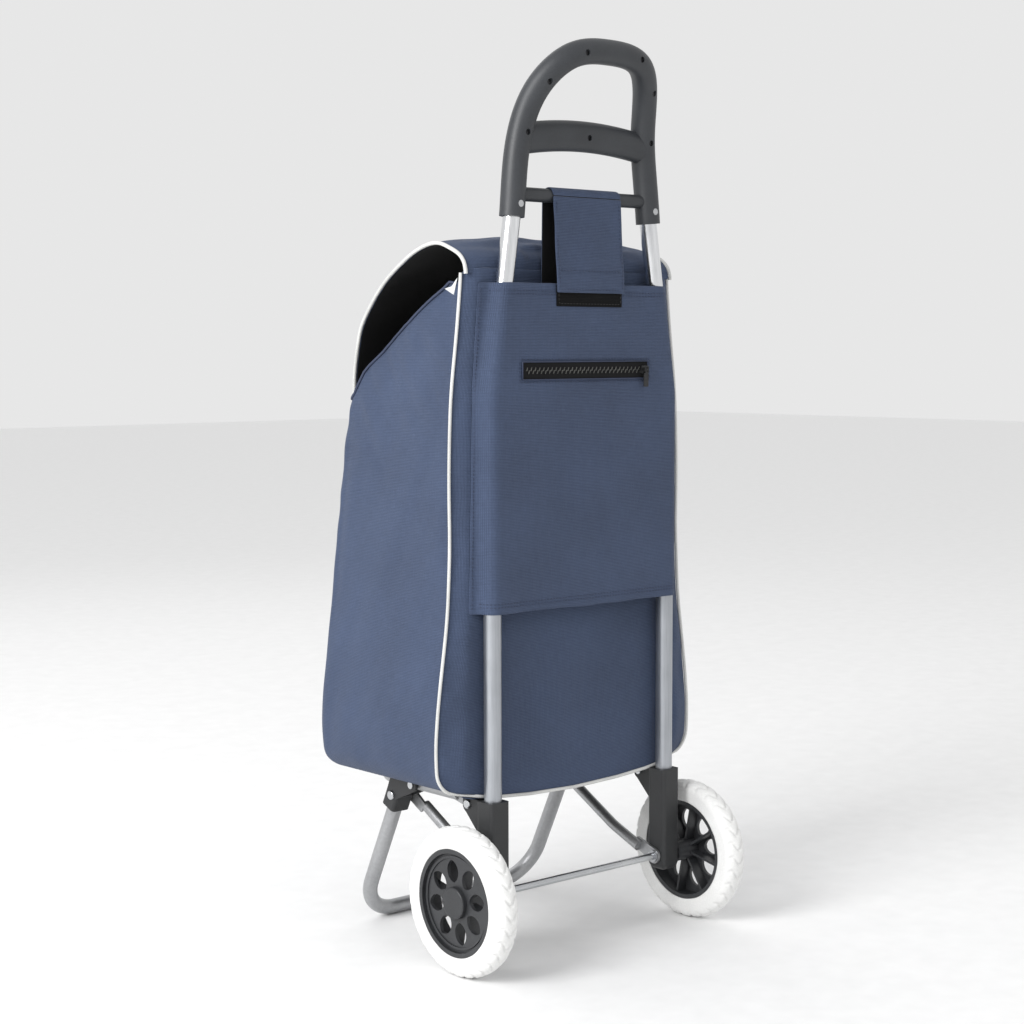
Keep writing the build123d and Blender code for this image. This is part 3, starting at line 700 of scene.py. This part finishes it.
# the zip: tape, two rows of teeth that mesh, a welt and its stitching
zipper = {"left": 97.0, "right": -88.0, "z": 636.0, "height": 18.0, "face": 11.9, "teeth": 58,
          "toothWide": 1.15, "toothDeep": 0.7, "toothSides": 6, "tapeThick": 0.8, "welt": 0.9}
tapeGrid = np.array([[(x, zipper["face"] + 0.5 + 0.35 * math.cos((v - 0.5) * math.pi),
                       zipper["z"] + (v - 0.5) * zipper["height"])
                      for x in np.linspace(zipper["right"], zipper["left"], 60)]
                     for v in np.linspace(0, 1, 10)])
tape = clothPiece("zipTapeCloth", placeAll(tapeGrid), tapeGrid[:, :, [0, 2]] * mm, ["zipTape"],
                  zipper["tapeThick"], flip=True)
teethPoints, teethFaces = [], []
sides = zipper["toothSides"]
for k in range(zipper["teeth"]):
    x = zipper["right"] + 11 + (zipper["left"] - zipper["right"] - 14) * k / zipper["teeth"]
    side = 1 if k % 2 else -1
    first = len(teethPoints)
    for u, grow in ((-1.5, 0.7), (1.5, 1.0)):
        for a in range(sides):
            turn = math.tau * a / sides
            teethPoints.append(place(x + zipper["toothWide"] * grow * math.cos(turn) + side * u * 0.5,
                                     zipper["face"] + 1.05 + zipper["toothDeep"] * grow * math.sin(turn),
                                     zipper["z"] + side * 1.5 - side * u * 1.3))
    for a in range(sides):
        b = (a + 1) % sides
        quad = (first + a, first + b, first + b + sides, first + a + sides)
        teethFaces.append(quad if side > 0 else quad[::-1])
    teethFaces.append(tuple(first + a for a in range(sides)))
    teethFaces.append(tuple(first + sides + a for a in range(sides)))
teeth = makePiece("zipTeeth", teethPoints, teethFaces, None, ["zipTeeth"])

# a row of stitches round the zip
corners = [(zipper["left"] + 3, zipper["z"] + 12), (zipper["right"] - 3, zipper["z"] + 12),
           (zipper["right"] - 3, zipper["z"] - 12), (zipper["left"] + 3, zipper["z"] - 12)]
border = []
for (x, z), (nextX, nextZ) in zip(corners, corners[1:] + corners[:1]):
    border += [(x + (nextX - x) * t, zipper["face"] + 0.1, z + (nextZ - z) * t)
               for t in np.linspace(0, 1, 20, endpoint=False)]
border.append(border[0])
zipStitch = stitchRow("zipStitch", placeAll(border), (0, 1, 0), "navyThread")
welt = [(x, zipper["face"] + 0.7, zipper["z"] + rise)
        for x, rise in [(zipper["left"], 9.4), (zipper["right"], 9.4), (zipper["right"], -9.4),
                        (zipper["left"], -9.4), (zipper["left"], 9.4)]]
zipWelt = cordPiece("zipWelt", placeAll(welt), zipper["welt"], "navyThread")
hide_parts("zip_tape")
zipPieces = ((tape, "zip"), (teeth, "zip"), (zipStitch, "bag_fabric"), (zipWelt, "bag_fabric"))
for piece, slotName in zipPieces:
    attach(piece, "frame")

# the hook-and-loop patch that the strap's tab closes on
patch = {"half": 48.5, "low": 704.0, "high": 727.0, "face": 11.9, "proud": 1.0, "thick": 1.2}


def patchFace(x):  # thinner at its ends
    return patch["face"] + patch["proud"] * (0.7 + 0.3 * min(1, (patch["half"] - abs(x)) / 1.5))


patchGrid = np.array([[(x, patchFace(x), z) for x in np.linspace(-patch["half"], patch["half"], 44)]
                      for z in np.linspace(patch["low"], patch["high"], 14)])
loopPatch = clothPiece("loopPatch", placeAll(patchGrid), patchGrid[:, :, [0, 2]] * mm,
                       ["hookAndLoop"], patch["thick"], flip=True)
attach(loopPatch, "frame")
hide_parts("loop_patch")
frameLine = [(-45.5, 707), (45.5, 707), (45.5, 724.5), (-45.5, 724.5), (-45.5, 707)]
dense = []
for (x, z), (nextX, nextZ) in zip(frameLine, frameLine[1:]):
    dense += [(x + (nextX - x) * t, patch["face"] + 1.1, z + (nextZ - z) * t) for t in np.linspace(0, 1, 12)]
patchStitch = stitchRow("patchStitch", placeAll(dense), (0, 1, 0), "blackThread")
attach(patchStitch, "frame")

# the strap: a band up from the bag over the cross bar, and a loose tab down behind it
strap = {
    "half": 50.0, "reach": 9.4, "bar": 821.0, "thick": 1.5, "tabWave": 1.6, "across": 31,
    "rise": [(-11.2, 708), (-11.2, 744), (-10.4, 780), (-9.8, 812)],
    "tab": [(9.4, 820.5), (10.2, 800), (12.2, 768), (14.6, 744), (15.2, 730), (15.2, 718.5)],
}
bandLine = strap["rise"] + [(-strap["reach"] * math.cos(a), strap["bar"] + strap["reach"] * math.sin(a))
                            for a in np.linspace(0, math.pi, 11)]


def strapRows(line, rows, wave):  # the strap's cloth along a side view of it
    path = smoothCurve(line, rows)
    grid, flat = [], []
    length = np.concatenate([[0], np.cumsum(np.linalg.norm(np.diff(path, axis=0), axis=1))])
    for i, (y, z) in enumerate(path):
        row, flatRow = [], []
        for f in np.linspace(-1, 1, strap["across"]):
            bend = wave * noise.noise(Vector((f * 1.6, length[i] * 0.02, 2.2))) * step(length[i], 4, 30)
            row.append((strap["half"] * f, y + bend, z))
            flatRow.append((strap["half"] * f, length[i]))
        grid.append(row)
        flat.append(flatRow)
    return np.array(grid), np.array(flat)


bandGrid, bandFlat = strapRows(bandLine, 46, 0.0)
band = clothPiece("strapBand", placeAll(bandGrid), bandFlat * mm, ["navyCloth", "blackLining"],
                  strap["thick"])
tabGrid, tabFlat = strapRows(strap["tab"], 40, strap["tabWave"])
tab = clothPiece("strapTab", placeAll(tabGrid), tabFlat * mm, ["navyCloth", "blackLining"],
                 strap["thick"])
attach(band, "frame")
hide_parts("strap_band")
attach(tab, "strap_tab")
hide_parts("strap_tab")


def tabAt(x, z):  # a point just proud of the tab
    line = tabGrid[:, strap["across"] // 2]
    y = np.interp(z, line[::-1, 2], line[::-1, 1])
    return (x, y + 0.35, z)


tabRows = [[tabAt(46, z) for z in np.linspace(816, 722, 40)],
           [tabAt(-46, z) for z in np.linspace(816, 722, 40)],
           [tabAt(x, 722) for x in np.linspace(46, -46, 30)],
           [tabAt(x, 742) for x in np.linspace(46, -46, 30)]]
for k, row in enumerate(tabRows):
    seam = stitchRow("tabStitch%d" % (k + 1), placeAll(row), (0, 1, 0), "navyThread")
    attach(seam, "strap_tab")
print("zip, patch and strap made")

# the foam tyres: one section turned about the axle, with wavy cuts across the tread
tyre = {"radius": 80.0, "width": 27.0, "seat": 57.5, "waves": 30, "depth": 1.8, "around": 432,
        "lean": 0.95, "uneven": 0.25}


def tyreSection():  # half of it, then its mirror, in distance across and radius
    half = tyre["width"] / 2
    line = [(half - 0.2, tyre["seat"]), (half - 0.1, 60), (half, 66), (half, 70.5),
            (half - 1.3, 74.5), (half - 4.5, 77.8), (half - 9, 79.4), (0, tyre["radius"])]
    right = smoothCurve(line, 20)
    left = right[::-1][1:].copy()
    left[:, 0] *= -1
    return np.vstack([right, left])


section = tyreSection()
for side, body in ((1, "wheel_left"), (-1, "wheel_right")):
    low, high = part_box("tyre_left" if side > 0 else "tyre_right")
    middleX = (low.x + high.x) / 2
    points, faces = [], []
    for k in range(tyre["around"]):
        turn = math.tau * k / tyre["around"]
        for w, r in section:
            tread = step(r, 71.5, 76.5)
            lean = tyre["lean"] * math.cos(w / 13.5 * math.pi * 1.5)
            cut = abs(math.sin(tyre["waves"] * turn / 2 + lean))
            r -= tyre["depth"] * tread * (1 - step(cut, 0.0, 0.62))
            r += tyre["uneven"] * noise.noise(Vector((math.cos(turn) * 5, math.sin(turn) * 5, w * 0.1)))
            r = min(r, tyre["radius"])
            points.append((middleX + side * w * mm, axleY + r * mm * math.cos(turn),
                           (tyre["radius"] + r * math.sin(turn)) * mm))
    across = len(section)
    for k in range(tyre["around"]):
        nextRing = (k + 1) % tyre["around"]
        for j in range(across):
            b = (j + 1) % across  # the last one closes the ring on the rim
            quad = (k * across + j, k * across + b, nextRing * across + b, nextRing * across + j)
            faces.append(quad[::-1] if side > 0 else quad)
    foam = makePiece("foamTyre" + sideName(side), points, faces, None, ["foamTyre"])
    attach(foam, body)
    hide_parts("tyre_left" if side > 0 else "tyre_right")
print("tyres made")

# a white floor and background with one strong soft light from the left, in watts and metres
studio = {
    "world": 0.8, "floorHalf": 14,
    "lights": {"keyLight": (92.0, 1.6, (3.0, 0.3, 1.9), (0, 0, 0.5)),
               "fillLight": (1.0, 2.0, (-1.6, 2.8, 1.6), (0, 0, 0.5)),
               "backLight": (9.0, 2.0, (-0.6, -2.6, 2.4), (0, 0, 0.6))},
}
bpy.context.scene.view_settings.view_transform = "Standard"
world = bpy.data.worlds.new("studioWorld")
bpy.context.scene.world = world
world.use_nodes = True
world.node_tree.nodes["Background"].inputs["Color"].default_value = (1.0, 1.0, 1.0, 1)
world.node_tree.nodes["Background"].inputs["Strength"].default_value = studio["world"]
reach = studio["floorHalf"]
floorPoints = [(-reach, -reach, 0), (reach, -reach, 0), (reach, reach, 0), (-reach, reach, 0)]
floor = makePiece("floor", floorPoints, [(0, 1, 2, 3)], None, ["floorPaper"])


def softLight(name, power, size, spot, target):  # a square lamp that faces its target
    lamp = bpy.data.lights.new(name, "AREA")
    lamp.energy = power
    lamp.shape = "SQUARE"
    lamp.size = size
    holder = bpy.data.objects.new(name, lamp)
    bpy.context.scene.collection.objects.link(holder)
    holder.location = spot
    holder.rotation_euler = (Vector(target) - Vector(spot)).to_track_quat("-Z", "Y").to_euler()


for name, (power, size, spot, target) in studio["lights"].items():
    softLight(name, power, size, spot, target)

view = {"focal": 69.95, "sensor": 36.0, "spot": (1482.26, 1580.38, 657.31),
        "right": (-0.75286, 0.65817, -0.00222), "up": (-0.05491, -0.05945, 0.99672),
        "ahead": (-0.65588, -0.75052, -0.08090)}
camera = bpy.data.cameras.new("camera")
camera.lens = view["focal"]
camera.sensor_width = view["sensor"]
cameraObject = bpy.data.objects.new("camera", camera)
bpy.context.scene.collection.objects.link(cameraObject)
axes = (Vector(view["right"]), Vector(view["up"]), -Vector(view["ahead"]))
turnTo = Matrix(axes).transposed().to_4x4()
cameraObject.matrix_world = Matrix.Translation(place(*view["spot"])) @ turnTo
bpy.context.scene.camera = cameraObject
print("floor, light and camera set")
